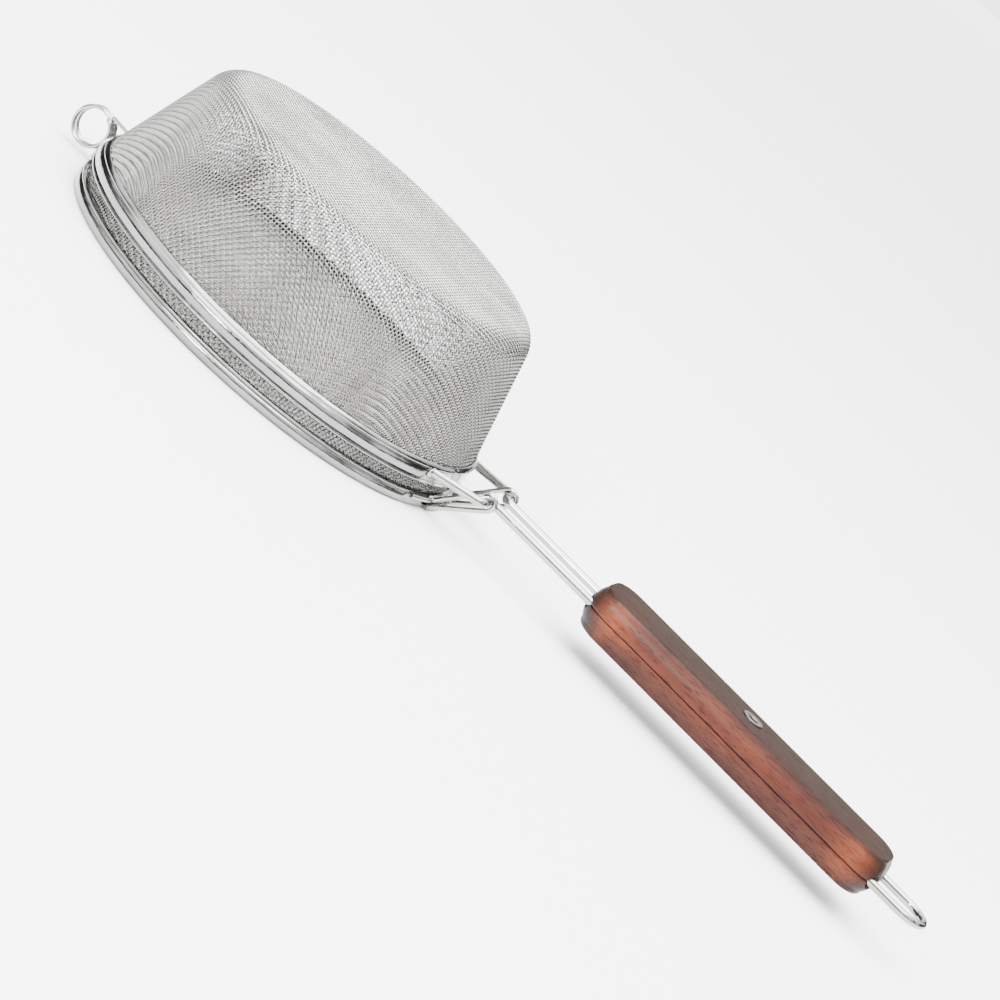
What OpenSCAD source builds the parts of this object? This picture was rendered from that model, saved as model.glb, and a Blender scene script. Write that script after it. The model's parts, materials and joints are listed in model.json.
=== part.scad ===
/* [Basket] */
// Diameter over the beads of both rims
rim_d = 160; // [120:1:220]
// Height of the basket from its rim's lower edge to its flat floor
basket_h = 50.8; // [35:0.1:90]
// Diameter of the floor at its corner, before the corner is rounded
floor_d = 130; // [95:0.5:150]
// Radius of the corner between wall and floor
corner_r = 9; // [5:0.5:16]
// Thickness of the woven cloth, two wires deep
cloth_t = 1.0; // [0.6:0.1:1.6]

/* [Rims] */
// Height of the basket's rim strip
basket_rim_h = 7.6; // [6.5:0.1:12]
// Height of the lid's rim strip
lid_rim_h = 5.2; // [5:0.1:9]
// Gap between the two rims with the lid shut
rim_gap = 3.6; // [2:0.1:8]
// Thickness of the folded strip outside the cloth
strip_out_t = 1.5; // [1.3:0.1:2.5]
// Thickness of the folded strip inside the cloth
strip_in_t = 0.6; // [0.4:0.1:1.5]
// How far the bead stands out from the strip
bead_out = 0.9; // [0.7:0.1:1.6]
// Height of the basket rim's bead
basket_bead_h = 4.2; // [3.4:0.1:5]
// Height of the lid rim's bead
lid_bead_h = 3.6; // [3.2:0.1:4]
// Diameter of the hoop wire inside each bead
hoop_d = 1.6; // [1:0.1:1.8]
// Arc of plain strip, with no bead, at the hinge
plain_arc = 41; // [38:1:70]

/* [Lid] */
// Height of the lid's dished cloth above the table
lid_h = 13.6; // [11:0.1:20]
// Radius of the dish's corner
lid_corner_r = 4; // [2:0.5:5]
// Clearance between the dish and the basket's rim
lid_clear = 0.6; // [0.4:0.1:2]

/* [Handle wire] */
// Diameter of the handle wire
wire_d = 3.0; // [2.4:0.1:3.6]
// Height of the wire's plane above the table
wire_z = 16.4; // [15.8:0.1:17.4]
// Distance from the basket's axis to the hinge line
hinge_x = 92.6; // [90:0.1:100]
// Distance between the centres of the two legs
leg_pitch = 16.4; // [14:0.2:19]
// Distance between the two turns where the hinge line ends
turn_pitch = 37.2; // [36:0.2:44]
// Distance between the two welds on the rim
weld_pitch = 48.4; // [47:0.2:52]
// Drop of the welded ends below the hinge line
weld_drop = 2.0; // [0:0.1:3]
// Bend radius of the wire at its centre line
wire_bend_r = 3.0; // [2:0.1:3.5]
// Distance from the hinge line to the end of the hanging loop
handle_l = 191.2; // [160:0.2:260]

/* [Lid hinge] */
// Diameter of the lid's hinge wire
eye_wire_d = 1.8; // [1.4:0.1:2]
// Distance between the two eyes
eye_pitch = 24.6; // [24.2:0.2:27.4]
// Clearance between an eye and the handle wire
eye_clear = 0.4; // [0.2:0.05:0.6]

/* [Grip] */
// Distance from the hinge line to the grip
grip_start = 43.8; // [30:0.2:60]
// Length of the grip
grip_l = 127; // [90:0.2:135]
// Width of the grip at its split
grip_w = 27.5; // [26:0.5:36]
// Height of the upper half
grip_top_h = 8.1; // [6:0.1:11]
// Height of the lower half
grip_bottom_h = 7.8; // [6:0.1:11]
// Gap between the two halves along the split
split_gap = 0.2; // [0.1:0.05:0.4]
// Plan radius of the grip's four corners
grip_corner_r = 9; // [5:0.5:12]
// How far the grip's sides draw in at its flat faces
grip_draw = 2.2; // [1:0.1:3]
// Clearance of the wire in its groove
groove_clear = 0.05; // [0.03:0.01:0.2]
// Radius of the dished mouth where a leg goes in
mouth_r = 3.0; // [2.4:0.1:3.4]
// Depth of that mouth
mouth_l = 3.5; // [1.5:0.1:5]
// Diameter of the rivet's shank
rivet_d = 4.8; // [3.6:0.1:6]
// Bore through the rivet
rivet_bore = 3.4; // [2:0.1:4]
// Diameter of the rivet's heads
rivet_head_d = 8; // [7:0.1:10]
// Height of each rivet head
rivet_head_h = 0.6; // [0.4:0.1:1.2]

/* [Clasp] */
// Diameter of the clasp's spring wire
clasp_wire_d = 1.4; // [1:0.1:1.6]
// Radius of the clasp's ring at its centre line
ring_r = 6.6; // [5.8:0.1:8]
// Distance between the clasp's two strands
clasp_pitch = 5.2; // [5:0.2:8]
// Width of the lug that carries the clasp
lug_w = 2.8; // [2:0.1:3.2]
// Thickness of the lug
lug_t = 0.6; // [0.5:0.1:0.8]
// Height the lug stands above the rim, against the cloth
lug_up = 1.2; // [0.5:0.1:2]
// Distance from the rim's crown out to the clasp's pivot
pivot_out = 5.8; // [5:0.1:8]
// Height of the clasp's pivot below the top of the basket's rim
pivot_down = 1.5; // [1:0.1:4]
// Clearance between the clasp and what it hooks over
clasp_clear = 0.3; // [0.2:0.05:0.5]
// Height of the clasp's toe above the table
toe_z = 0.9; // [0.8:0.05:1.4]

/* [Hidden] */
$fn = 64;
fit = 0.05;
edge = 0.5;
rim_r = rim_d / 2;
strip_r = rim_r - bead_out;
cloth_out_r = strip_r - strip_out_t;
cloth_mid_r = cloth_out_r - cloth_t / 2;
cloth_in_r = cloth_out_r - cloth_t;
rim_in_r = cloth_in_r - strip_in_t;
fold = 0.8;
flange_drop = 1.1;
basket_z = lid_rim_h + rim_gap;
basket_top = basket_z + basket_rim_h;
floor_z = basket_z + basket_h;
basket_bead_z = basket_z + 0.6 + edge + basket_bead_h / 2 + 0.5;
lid_bead_z = 0.4 + lid_bead_h / 2;
hoop_r = cloth_out_r + fit + 0.35 + hoop_d / 2 + fit;
dish_r = rim_in_r - lid_clear - cloth_t / 2;
bead_start = plain_arc / 2;
bead_arc = 360 - plain_arc;
eye_r = wire_d / 2 + eye_clear + eye_wire_d / 2;
seat_r = strip_r + eye_wire_d / 2 + 2 * fit;
seat_low = 0.5 + eye_wire_d / 2;
seat_high = lid_rim_h - 1.2;
grip_x = hinge_x + grip_start;
grip_mid = grip_x + grip_l / 2;
grip_top = wire_z + grip_top_h;
grip_bottom = wire_z - grip_bottom_h;
loop_x = hinge_x + handle_l - wire_d / 2 - leg_pitch / 2;
weld_slope = asin(weld_drop / (hinge_x - strip_r));
pivot_d = clasp_wire_d + 0.16;
pivot_r = rim_r + pivot_out;
pivot_z = basket_top - pivot_down;
ring_x = pivot_r + ring_r * cos(59);
ring_z = pivot_z - ring_r * sin(59);

// Geometry by rule: unit vectors, arcs, offset lines and rounded corners
function unit(v) = v / norm(v);
function turn(v) = [-v[1], v[0]];
function arc_pts(c, r, a0, a1, n) =
    [for (i = [0:n]) let (a = a0 + (a1 - a0) * i / n) c + r * [cos(a), sin(a)]];
function miter(a, b, c) =
    let (p = turn(unit(b - a)), q = turn(unit(c - b))) (p + q) / (1 + p * q);
function side(p, d) = [for (i = [0:len(p) - 1])
    i == 0 ? p[0] + d * turn(unit(p[1] - p[0]))
    : i == len(p) - 1 ? p[i] + d * turn(unit(p[i] - p[i - 1]))
    : p[i] + d * miter(p[i - 1], p[i], p[i + 1])];
function back(p) = [for (i = [len(p) - 1:-1:0]) p[i]];
function band(p, t) = concat(side(p, t / 2), back(side(p, -t / 2)));
// A corner: its two tangent points, its centre and the two angles of its arc
function corner(a, b, c, r) =
    let (u = unit(a - b), v = unit(c - b), half = acos(u * v) / 2,
         m = b + unit(u + v) * r / sin(half), p = b + u * r / tan(half),
         q = b + v * r / tan(half))
    [p, q, m, atan2(p[1] - m[1], p[0] - m[0]), atan2(q[1] - m[1], q[0] - m[0])];
// Radius of a bead's curve from its height
function bead_curve(h) = (h * h / 4 + bead_out * bead_out) / (2 * bead_out);
// Angle of the tangent point on a circle, seen from an outside point
function tangent(p, c, r, s) =
    atan2(p[1] - c[1], p[0] - c[0]) + s * acos(r / norm(p - c));

// Points of a path in space with its inner corners rounded
function round_corner(a, b, c, r, n) =
    let (u = unit(a - b), v = unit(c - b), half = acos(u * v) / 2,
         m = b + unit(u + v) * r / sin(half), p = b + u * r / tan(half),
         q = b + v * r / tan(half), turn_a = 180 - 2 * half)
    [for (i = [0:n]) m + (sin(turn_a * (1 - i / n)) * (p - m)
                          + sin(turn_a * i / n) * (q - m)) / sin(turn_a)];
// Tangent directions along a path, and normals carried along it without twist
function along(p) = [for (i = [0:len(p) - 1])
    unit(p[min(i + 1, len(p) - 1)] - p[max(i - 1, 0)])];
function settle(n, t) = unit(n - (n * t) * t);
function carried(t, first) =
    [for (i = 0, n = settle(first, t[0]); i < len(t);
          i = i + 1, n = i < len(t) ? settle(n, t[i]) : n) n];

// A round wire swept along a path of points
module wire(path, d, first) {
    k = 10;
    t = along(path);
    n = carried(t, first);
    last = len(path) - 1;
    rings = [for (i = [0:last]) for (j = [0:k - 1])
        path[i] + d / 2 * (cos(360 * j / k) * n[i] + sin(360 * j / k) * cross(t[i], n[i]))];
    walls = [for (i = [0:last - 1]) for (j = [0:k - 1])
        let (a = i * k + j, b = i * k + (j + 1) % k) [[a, b + k, b], [a, a + k, b + k]]];
    faces = concat([for (w = walls) w[0]], [for (w = walls) w[1]],
                   [[for (j = [0:k - 1]) j]], [[for (j = [k - 1:-1:0]) last * k + j]]);
    polyhedron(rings, faces, convexity = 6);
}

// A straight round bar from one point to another
module rod(p, q, d) {
    v = q - p;
    translate(p)
        rotate([0, acos(v[2] / norm(v)), atan2(v[1], v[0])])
            cylinder(h = norm(v), d = d);
}

// A round bar bent through an arc in the XY plane
module bend(c, r, a0, a1, d) {
    low = min(a0, a1);
    translate([c[0], c[1], 0])
        rotate([0, 0, low])
            rotate_extrude(angle = abs(a1 - a0))
                translate([r, 0])
                    circle(d = d);
}

// The bend that joins two legs of a run, on the short side
module corner_bend(k, r, d) {
    sweep = k[4] - k[3];
    short = sweep > 180 ? sweep - 360 : sweep < -180 ? sweep + 360 : sweep;
    bend(k[2], r, k[3], k[3] + short, d);
}

// Half of the handle wire, from the weld to the hanging loop
module handle_half() {
    p0 = [strip_r - 6, -weld_pitch / 2 - 1];
    p1 = [hinge_x, -turn_pitch / 2];
    p2 = [hinge_x, -leg_pitch / 2];
    p3 = [loop_x, -leg_pitch / 2];
    k2 = corner(p1, p2, p3, wire_bend_r);
    rod([p0[0], p0[1], -(hinge_x - p0[0]) * tan(weld_slope)], [p1[0], p1[1], 0], wire_d);
    translate([p1[0], p1[1], 0])
        sphere(d = wire_d * 1.08);
    rod([p1[0], p1[1], 0], [k2[0][0], k2[0][1], 0], wire_d);
    corner_bend(k2, wire_bend_r, wire_d);
    rod([k2[1][0], k2[1][1], 0], [p3[0], p3[1], 0], wire_d);
}

// Section of a folded rim strip between two heights, open above for the cloth
module strip_section(z0, z1, slope) {
    polygon([[rim_in_r, z0 + edge], [rim_in_r + 0.4, z0], [strip_r - edge, z0],
             [strip_r, z0 + edge], [strip_r, z1 - slope],
             [cloth_out_r + fit + 0.1, z1], [cloth_out_r + fit, z1],
             [cloth_out_r + fit, z0 + fold], [cloth_in_r - fit, z0 + fold],
             [cloth_in_r - fit, z1 - 0.3], [rim_in_r, z1 - 0.6]]);
}

// Section of the half-round bead
module bead_section(z, h) {
    r = bead_curve(h);
    a = asin(h / 2 / r);
    polygon(concat([[strip_r - 0.3, z - h / 2]],
                   arc_pts([rim_r - r, z], r, -a, a, 12),
                   [[strip_r - 0.3, z + h / 2]]));
}

// Section of a small square-edged lip
module lip_section(z0, z1) {
    polygon([[strip_r - 0.3, z0], [strip_r + 0.3, z0], [strip_r + 0.5, z0 + 0.2],
             [strip_r + 0.5, z1 - 0.2], [strip_r + 0.3, z1], [strip_r - 0.3, z1]]);
}

module around_bead() {
    rotate([0, 0, bead_start])
        rotate_extrude(angle = bead_arc)
            children();
}

module hoop_space(z, gap) {
    inset_a = 1;
    rotate([0, 0, bead_start + inset_a - gap])
        rotate_extrude(angle = bead_arc - 2 * inset_a + 2 * gap)
            translate([hoop_r, z])
                circle(d = hoop_d + 2 * gap);
}

module basket_mesh() {
    p0 = [cloth_mid_r, basket_z + fold + fit];
    p1 = [cloth_mid_r, basket_top];
    p2 = [floor_d / 2, floor_z - cloth_t / 2];
    p3 = [0, floor_z - cloth_t / 2];
    k = corner(p1, p2, p3, corner_r - cloth_t / 2);
    color("gainsboro")
        rotate_extrude()
            polygon(band(concat([p0, p1],
                arc_pts(k[2], corner_r - cloth_t / 2, k[3], k[4], 10), [p3]), cloth_t));
}

module basket_rim() {
    color("silver")
        difference() {
            union() {
                rotate_extrude()
                    strip_section(basket_z, basket_top, flange_drop);
                around_bead()
                    bead_section(basket_bead_z, basket_bead_h);
                around_bead()
                    lip_section(basket_z + 0.3, basket_z + 1.2);
            }
            hoop_space(basket_bead_z, fit);
        }
}

module basket_hoop() {
    color("darkgray")
        hoop_space(basket_bead_z, 0);
}

module lid_mesh() {
    p0 = [cloth_mid_r, fold + fit];
    p1 = [cloth_mid_r, lid_rim_h];
    p2 = [dish_r, lid_rim_h + (cloth_mid_r - dish_r) * 1.1];
    c = [dish_r - lid_corner_r + cloth_t / 2, lid_h - lid_corner_r];
    color("gainsboro")
        rotate_extrude()
            polygon(band(concat([p0, p1, p2],
                arc_pts(c, lid_corner_r - cloth_t / 2, 0, 90, 8),
                [[0, lid_h - cloth_t / 2]]), cloth_t));
}

module lid_rim() {
    color("silver")
        difference() {
            union() {
                rotate_extrude()
                    strip_section(0, lid_rim_h, 0.5);
                around_bead()
                    bead_section(lid_bead_z, lid_bead_h);
                around_bead()
                    lip_section(lid_rim_h - 0.9, lid_rim_h - 0.2);
            }
            hoop_space(lid_bead_z, fit);
        }
}

module lid_hoop() {
    color("darkgray")
        hoop_space(lid_bead_z, 0);
}

module handle_wire() {
    color("gainsboro")
        translate([0, 0, wire_z])
            difference() {
                union() {
                    handle_half();
                    mirror([0, 1, 0])
                        handle_half();
                    bend([loop_x, 0], leg_pitch / 2, -90, 90, wire_d);
                }
                translate([0, 0, -3 * wire_d])
                    cylinder(h = 6 * wire_d, r = strip_r + fit);
            }
}

// Half of the hinge wire: tail, strand, eye, strand and half the link under the rim
function hinge_half() =
    let (y = eye_pitch / 2, seat_a = asin(y / seat_r), tail_a = bead_start - 1,
         x = sqrt(seat_r * seat_r - y * y), hub = [hinge_x, wire_z],
         low = [x, seat_low], high = [x, seat_high],
         a0 = tangent(low, hub, eye_r, 1), a1 = tangent(high, hub, eye_r, -1) + 360,
         tail = [for (k = [1, 0.75, 0.5, 0.25]) let (a = seat_a + (tail_a - seat_a) * k)
                 [seat_r * cos(a), -seat_r * sin(a), seat_high]],
         link = [for (k = [0.75, 0.5, 0.25, 0])
                 [seat_r * cos(seat_a * k), -seat_r * sin(seat_a * k), seat_low]],
         eye = arc_pts(hub, eye_r, a1, a0, 18), e = len(eye) - 1,
         near = tail[3], far = link[0])
    concat(tail,
           round_corner(near, [x, -y, seat_high], [eye[0][0], -y, eye[0][1]], 1.2, 5),
           [for (q = eye) [q[0], -y, q[1]]],
           round_corner([eye[e][0], -y, eye[e][1]], [x, -y, seat_low], far, 1.2, 5),
           link);

module lid_hinge_wire() {
    half = hinge_half();
    other = [for (i = [len(half) - 2:-1:0]) [half[i][0], -half[i][1], half[i][2]]];
    color("gainsboro")
        wire(concat(half, other), eye_wire_d, [0, 0, 1]);
}

// Plan of the grip, drawn in by some distance all round
module grip_plan(draw) {
    x0 = grip_x + draw;
    x1 = grip_x + grip_l - draw;
    y = grip_w / 2 - draw;
    r = grip_corner_r - draw / 2;
    polygon(concat(arc_pts([x1 - r, y - r], r, 0, 90, 8),
                   arc_pts([x0 + r, y - r], r, 90, 180, 8),
                   arc_pts([x0 + r, r - y], r, 180, 270, 8),
                   arc_pts([x1 - r, r - y], r, 270, 360, 8)));
}

// One half of the grip's wood, its sides drawn in towards the flat face
module grip_layers(h) {
    n = 6;
    slice = 0.02;
    hull()
        for (i = [0:n])
            translate([0, 0, split_gap / 2 + (h - split_gap / 2 - slice) * i / n])
                linear_extrude(slice)
                    grip_plan(grip_draw * pow(i / n, 2.2));
}

// What the wires, their mouths and the rivet take out of the wood
module grip_spaces() {
    for (s = [-1, 1]) {
        translate([grip_x - 1, s * leg_pitch / 2, 0])
            rotate([0, 90, 0])
                cylinder(h = grip_l + 2, d = wire_d + 2 * groove_clear);
        translate([grip_x - fit, s * leg_pitch / 2, 0])
            rotate([0, 90, 0])
                cylinder(h = mouth_l, r1 = mouth_r, r2 = wire_d / 2 + groove_clear);
        translate([grip_x + grip_l + fit, s * leg_pitch / 2, 0])
            rotate([0, -90, 0])
                cylinder(h = mouth_l, r1 = mouth_r, r2 = wire_d / 2 + groove_clear);
    }
    translate([grip_mid, 0, -grip_bottom_h - 1])
        cylinder(h = grip_top_h + grip_bottom_h + 2, d = rivet_d + 2 * fit);
}

module grip_top_half() {
    color("saddlebrown")
        translate([0, 0, wire_z])
            difference() {
                grip_layers(grip_top_h);
                grip_spaces();
            }
}

module grip_bottom_half() {
    color("sienna")
        translate([0, 0, wire_z])
            difference() {
                mirror([0, 0, 1])
                    grip_layers(grip_bottom_h);
                grip_spaces();
            }
}

module grip_rivet() {
    low = grip_bottom - rivet_head_h;
    color("darkslategray")
        difference() {
            union() {
                translate([grip_mid, 0, low])
                    cylinder(h = grip_top - low + rivet_head_h, d = rivet_d);
                translate([grip_mid, 0, low])
                    cylinder(h = rivet_head_h, d = rivet_head_d);
                translate([grip_mid, 0, grip_top])
                    cylinder(h = rivet_head_h, d = rivet_head_d);
            }
            translate([grip_mid, 0, low - 1])
                cylinder(h = grip_top - low + rivet_head_h + 2, d = rivet_bore);
        }
}

// The lug lies on the rim's sloping edge and is rolled round the clasp's pivot
module clasp_lug() {
    barrel_r = pivot_d / 2 + lug_t;
    lift = lug_t / 2 + 0.08;
    top = [cloth_out_r + fit + 0.1, basket_top];
    low = [strip_r, basket_top - flange_drop];
    out = -turn(unit(top - low));
    over_top = top + lift * out;
    over_low = low + lift * out;
    root = [over_top[0], basket_top + lug_up];
    hub = [pivot_r, pivot_z];
    roll_r = barrel_r - lug_t / 2 - 0.1;
    a = tangent(over_low, hub, roll_r, -1);
    roll = hub + roll_r * [cos(a), sin(a)];
    wrap = hub + roll_r * [cos(a - 25), sin(a - 25)];
    color("silver")
        rotate([90, 0, 180])
            translate([0, 0, -lug_w / 2])
                difference() {
                    union() {
                        linear_extrude(lug_w)
                            polygon(band([root, over_top, over_low, roll, wrap], lug_t));
                        translate([hub[0], hub[1], 0])
                            cylinder(h = lug_w, r = barrel_r);
                    }
                    translate([hub[0], hub[1], -1])
                        cylinder(h = lug_w + 2, d = pivot_d);
                }
}

// Half of the clasp: pivot, strand round the ring, and half of the toe
function clasp_half() =
    let (y = clasp_pitch / 2, bead_c = rim_r - bead_curve(lid_bead_h), dz = toe_z - lid_bead_z,
         bead_at = bead_c + sqrt(pow(bead_curve(lid_bead_h), 2) - dz * dz),
         toe = [bead_at + clasp_clear + clasp_wire_d / 2, toe_z],
         hub = [ring_x, ring_z], a0 = atan2(pivot_z - ring_z, pivot_r - ring_x),
         a1 = tangent(toe, hub, ring_r, 1), ring = arc_pts(hub, ring_r, a0 - 14, a1, 20),
         start = hub + ring_r * [cos(a0), sin(a0)])
    concat([[-start[0], -0.1, start[1]]],
           round_corner([-start[0], -0.1, start[1]], [-start[0], -y, start[1]],
                        [-ring[0][0], -y, ring[0][1]], 0.8, 4),
           [for (q = ring) [-q[0], -y, q[1]]],
           round_corner([-ring[20][0], -y, ring[20][1]], [-toe[0], -y, toe[1]],
                        [-toe[0], 0, toe[1]], 1, 5));

module clasp_wire() {
    half = clasp_half();
    other = [for (i = [len(half) - 1:-1:0]) [half[i][0], -half[i][1], half[i][2]]];
    color("gainsboro")
        wire(concat(half, other), clasp_wire_d, [0, 0, 1]);
}

basket_mesh();
basket_rim();
basket_hoop();
handle_wire();
grip_top_half();
grip_bottom_half();
grip_rivet();
clasp_lug();
lid_mesh();
lid_rim();
lid_hoop();
lid_hinge_wire();
clasp_wire();
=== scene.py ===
"""Flour sifter: woven basket, hinged lid, wire handle, spring clasp and split wooden grip."""
import json
import math

import bmesh
import bpy
import numpy as np
from bpy.props import FloatProperty, FloatVectorProperty, PointerProperty
from mathutils import Matrix, Vector


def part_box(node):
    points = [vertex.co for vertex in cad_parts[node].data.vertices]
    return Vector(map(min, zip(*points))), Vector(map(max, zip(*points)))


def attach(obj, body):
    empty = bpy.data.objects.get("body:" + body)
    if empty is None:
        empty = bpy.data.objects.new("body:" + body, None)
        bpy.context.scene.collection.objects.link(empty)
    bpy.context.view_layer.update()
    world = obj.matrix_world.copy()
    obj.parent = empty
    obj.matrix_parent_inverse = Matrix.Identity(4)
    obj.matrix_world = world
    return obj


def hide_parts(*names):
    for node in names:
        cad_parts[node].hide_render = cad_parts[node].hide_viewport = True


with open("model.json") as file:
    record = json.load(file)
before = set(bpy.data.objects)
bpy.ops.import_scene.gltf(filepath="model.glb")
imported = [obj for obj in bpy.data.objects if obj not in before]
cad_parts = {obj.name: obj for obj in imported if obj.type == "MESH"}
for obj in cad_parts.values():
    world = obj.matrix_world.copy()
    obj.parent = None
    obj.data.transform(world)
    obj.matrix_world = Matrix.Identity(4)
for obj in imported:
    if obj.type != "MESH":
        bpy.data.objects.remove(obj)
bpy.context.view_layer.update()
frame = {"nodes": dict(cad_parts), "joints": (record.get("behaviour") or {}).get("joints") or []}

bl_info = {
    "name": "Flour Sifter",
    "version": (1, 0, 0),
    "blender": (4, 5, 0),
    "location": "View3D > Sidebar > Sifter",
    "description": "Builds a woven wire flour sifter with a hinged lid and a wooden grip",
    "category": "Add Mesh",
}

MM = 0.001
PARTS = {name: tuple(Vector(c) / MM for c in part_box(name)) for name in frame["nodes"]}
RIM_LOW, RIM_HIGH = PARTS["basket_rim"][0].z, PARTS["basket_rim"][1].z
LID_HIGH = PARTS["lid_rim"][1].z
FLOOR_Z = PARTS["basket_mesh"][1].z
CLOTH_OUT = PARTS["basket_mesh"][1].x
DISH_Z = PARTS["lid_mesh"][1].z
GRIP_X0, GRIP_X1 = PARTS["grip_top_half"][0].x, PARTS["grip_top_half"][1].x
GRIP_TOP, GRIP_BOTTOM = PARTS["grip_top_half"][1].z, PARTS["grip_bottom_half"][0].z
LOOP_END = PARTS["handle_wire"][1].x
JOINTS = {j["name"]: Vector(j["pos_m"]) / MM for j in frame["joints"]}
HINGE, PIVOT = JOINTS["lid_hinge"], JOINTS["clasp_pivot"]
GRIP_MIDDLE = (GRIP_X0 + GRIP_X1) / 2

# How far the cloth's hidden edge lies above the lower edge of its rim, in mm
HEM = 0.9
# How far the surface under the net runs on past the cloth's edge, in mm
RUN_ON = 12
# Fall of the lid's cloth between its dish and its rim, for each mm outwards
DISH_FALL = 1.1
# Steps of a rim strip round its circle, and sides of a round cutter
RIM_STEPS, CUTTER_SIDES = 512, 48
# Gap between a strip and the cloth that it holds, and between a wire and what it rests on, in mm
STRIP_GAP, WIRE_GAP = 0.05, 0.08


# ---------------------------------------------------------------- sizes and colours

class ClothSizes(bpy.types.PropertyGroup):
    """Wire cloth of the basket and the lid"""
    wire_d: FloatProperty(name="Cloth wire", description="Diameter of the cloth's wire, in mm",
                          default=0.5, min=0.2, max=1)
    pitch: FloatProperty(name="Pitch", description="Distance between wires, in mm",
                         default=1.28, min=1.2, max=5)
    bias: FloatProperty(name="Bias", description="Angle of the wires to the handle, in degrees",
                        default=0, min=0, max=90)
    thick: FloatProperty(name="Cloth", description="Thickness of the woven cloth, in mm",
                         default=1.0, min=0.5, max=2)
    corner_r: FloatProperty(name="Corner", description="Radius of the basket's corner, in mm",
                            default=9, min=4, max=16)
    floor_r: FloatProperty(name="Floor", description="Radius of the floor at its corner, in mm",
                           default=65, min=40, max=80)
    dish_r: FloatProperty(name="Dish", description="Radius of the lid's dish, in mm",
                          default=74.9, min=50, max=90)
    dish_corner: FloatProperty(name="Dish corner", description="Radius of the dish's corner, in mm",
                               default=4, min=2, max=8)


class RimSizes(bpy.types.PropertyGroup):
    """Folded rim strips"""
    outer_r: FloatProperty(name="Crown", description="Radius over the bead, in mm",
                           default=80, min=40, max=120)
    strip_r: FloatProperty(name="Strip", description="Radius of the plain strip, in mm",
                           default=79.1, min=40, max=120)
    inner_r: FloatProperty(name="Inside", description="Inner radius of the strip, in mm",
                           default=76, min=40, max=120)
    basket_bead: FloatProperty(name="Basket bead", description="Height of the basket's bead, in mm",
                               default=4.2, min=2, max=6)
    lid_bead: FloatProperty(name="Lid bead", description="Height of the lid's bead, in mm",
                            default=3.6, min=2, max=4)
    plain_arc: FloatProperty(name="Plain arc", description="Arc of strip with no bead, in degrees",
                             default=41, min=20, max=70)


class WireSizes(bpy.types.PropertyGroup):
    """Handle, hinge and clasp wires"""
    handle_d: FloatProperty(name="Handle wire", description="Diameter, in mm", default=3, min=2, max=4)
    leg_y: FloatProperty(name="Legs", description="Distance of a leg from the middle, in mm",
                         default=8.2, min=6, max=10)
    turn_y: FloatProperty(name="Turns", description="Half the length of the hinge line, in mm",
                          default=18.6, min=14, max=24)
    weld_y: FloatProperty(name="Welds", description="Distance of a weld from the middle, in mm",
                          default=24.2, min=18, max=30)
    weld_drop: FloatProperty(name="Drop", description="Drop of the welded ends, in mm",
                             default=2, min=0, max=4)
    bend_r: FloatProperty(name="Bend", description="Bend radius, in mm", default=3, min=2, max=6)
    hinge_d: FloatProperty(name="Hinge wire", description="Diameter, in mm", default=1.8, min=1, max=2)
    eye_y: FloatProperty(name="Eyes", description="Distance of an eye from the middle, in mm",
                         default=12.3, min=10, max=16)
    eye_r: FloatProperty(name="Eye radius", description="Radius of an eye's centre line, in mm",
                         default=2.8, min=2, max=4)
    clasp_d: FloatProperty(name="Clasp wire", description="Diameter, in mm", default=1.4, min=1, max=2)
    clasp_y: FloatProperty(name="Clasp strands", description="Distance from the middle, in mm",
                           default=2.6, min=2, max=4)
    ring_r: FloatProperty(name="Ring", description="Radius of the clasp's ring, in mm",
                          default=6.6, min=5, max=9)


class GripLooks(bpy.types.PropertyGroup):
    """Split wooden grip"""
    half_w: FloatProperty(name="Half width", description="Half the grip's width, in mm",
                          default=13.75, min=10, max=18)
    corner_r: FloatProperty(name="Corner", description="Plan radius of the corners, in mm",
                            default=9, min=4, max=12)
    draw: FloatProperty(name="Draw", description="How far the sides draw in, in mm",
                        default=2.2, min=0, max=4)
    dark: FloatVectorProperty(name="Dark", subtype="COLOR", size=3, description="Burnt wood",
                              default=(0.0032, 0.0016, 0.0014))
    red: FloatVectorProperty(name="Red", subtype="COLOR", size=3, description="Stained wood",
                             default=(0.036, 0.0062, 0.0028))
    # Top: a painted reflection, the grey-brown the flat top face shows from the pale surroundings at a
    # grazing angle
    top: FloatVectorProperty(name="Top", subtype="COLOR", size=3, description="Worn flat face",
                             default=(0.020, 0.0135, 0.011))
    # Warm: stain tone in random streaks, and also the painted glow of light towards each end
    warm_stain_and_painted_glow: FloatVectorProperty(name="Warm", subtype="COLOR", size=3, description="Worn stain",
                              default=(0.150, 0.0320, 0.0085))


class StageLooks(bpy.types.PropertyGroup):
    """Camera and lights"""
    turn: FloatProperty(name="Azimuth", description="Camera azimuth, in degrees", default=9.167)
    lift: FloatProperty(name="Elevation", description="Camera elevation, in degrees", default=13.22)
    roll: FloatProperty(name="Roll", description="Camera roll, in degrees", default=42.91)
    away: FloatProperty(name="Distance", description="Camera distance, in mm", default=1350)
    lens: FloatProperty(name="Lens", description="Focal length, in mm", default=152.32)
    aim: FloatVectorProperty(name="Aim", size=3, description="Point the camera looks at, in mm",
                             default=(93.144, 0, 17.017))
    floor: FloatVectorProperty(name="Floor", subtype="COLOR", size=3, description="Floor colour",
                               default=(0.93, 0.93, 0.93))


GROUPS = {"cloth": ClothSizes, "rims": RimSizes, "wires": WireSizes, "grip": GripLooks,
          "stage": StageLooks}


def sizes(name):
    return getattr(bpy.context.scene, "sifter_" + name)


# ---------------------------------------------------------------- shader tools

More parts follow.
